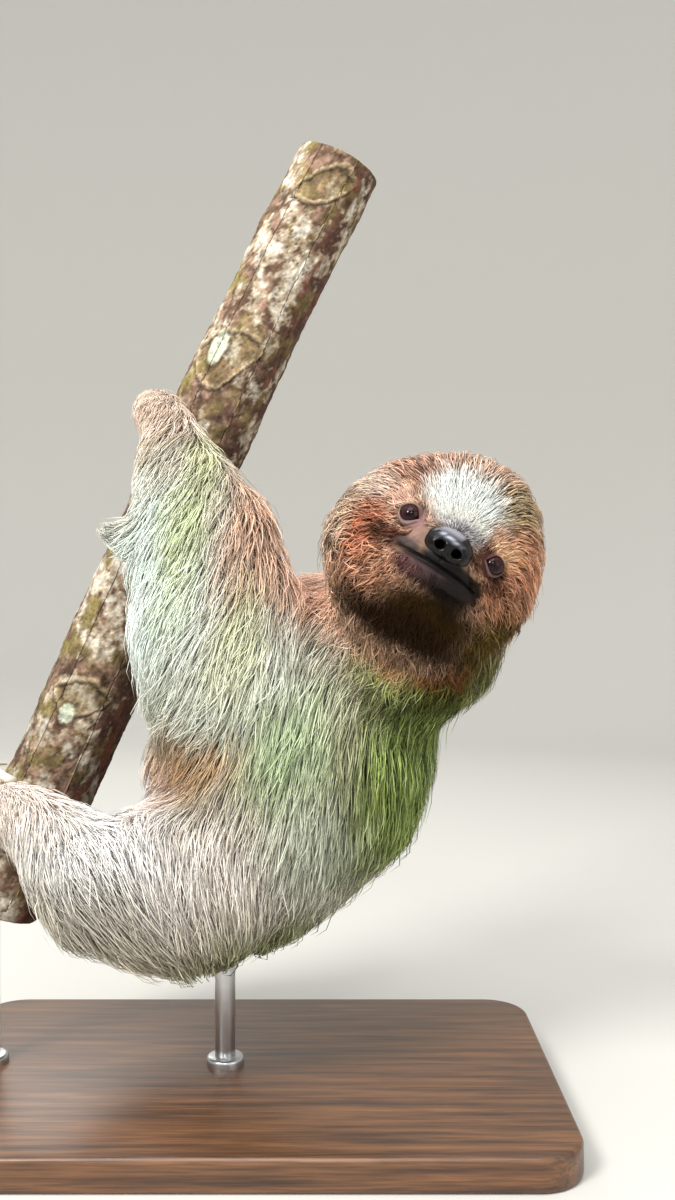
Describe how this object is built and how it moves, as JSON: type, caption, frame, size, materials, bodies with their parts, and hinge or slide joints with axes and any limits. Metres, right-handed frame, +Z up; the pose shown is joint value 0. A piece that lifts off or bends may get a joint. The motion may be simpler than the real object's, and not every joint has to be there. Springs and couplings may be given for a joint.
{
  "type": "three-toed sloth model on a perch",
  "caption": "Life-size still model of a brown-throated three-toed sloth that hugs a leaning trunk and looks over its shoulder, on a display stand.",
  "frame": {"origin": "centre of the underside of the stand's base", "axes": "+Z up, -Y the way the face looks, +X the way the back faces; the perch stands on the -X side and leans towards +X"},
  "size_m": [0.36, 0.2599, 0.5566],
  "materials": {
    "body_fur": "long coarse hair, grey-brown with green algae on the back and arm",
    "face_fur": "short soft hair, brown cheeks, cream brow, dark throat",
    "bare_skin": "black, slightly moist",
    "eye": "glossy, dark brown",
    "claw_horn": "satin horn",
    "tree_bark": "rough bark with pale lichen",
    "base_wood": "stained oak, satin varnish",
    "rod_steel": "brushed"
  },
  "bodies": {
    "root": {"head": "face_fur", "ear_left": "face_fur", "ear_right": "face_fur", "eye_left": "eye", "eye_right": "eye", "nose": "bare_skin", "neck": "body_fur", "torso": "body_fur", "tail": "body_fur", "upper_arm_left": "body_fur", "forearm_left": "body_fur", "hand_left": "body_fur", "upper_arm_right": "body_fur", "forearm_right": "body_fur", "hand_right": "body_fur", "thigh_left": "body_fur", "shin_left": "body_fur", "foot_left": "body_fur", "thigh_right": "body_fur", "shin_right": "body_fur", "foot_right": "body_fur", "claw_hand_left_1": "claw_horn", "claw_hand_left_2": "claw_horn", "claw_hand_left_3": "claw_horn", "claw_hand_right_1": "claw_horn", "claw_hand_right_2": "claw_horn", "claw_hand_right_3": "claw_horn", "claw_foot_left_1": "claw_horn", "claw_foot_left_2": "claw_horn", "claw_foot_left_3": "claw_horn", "claw_foot_right_1": "claw_horn", "claw_foot_right_2": "claw_horn", "claw_foot_right_3": "claw_horn", "perch": "tree_bark", "stand_base": "base_wood", "stand_rod_perch": "rod_steel", "stand_rod_body": "rod_steel"}
  },
  "joints": []
}
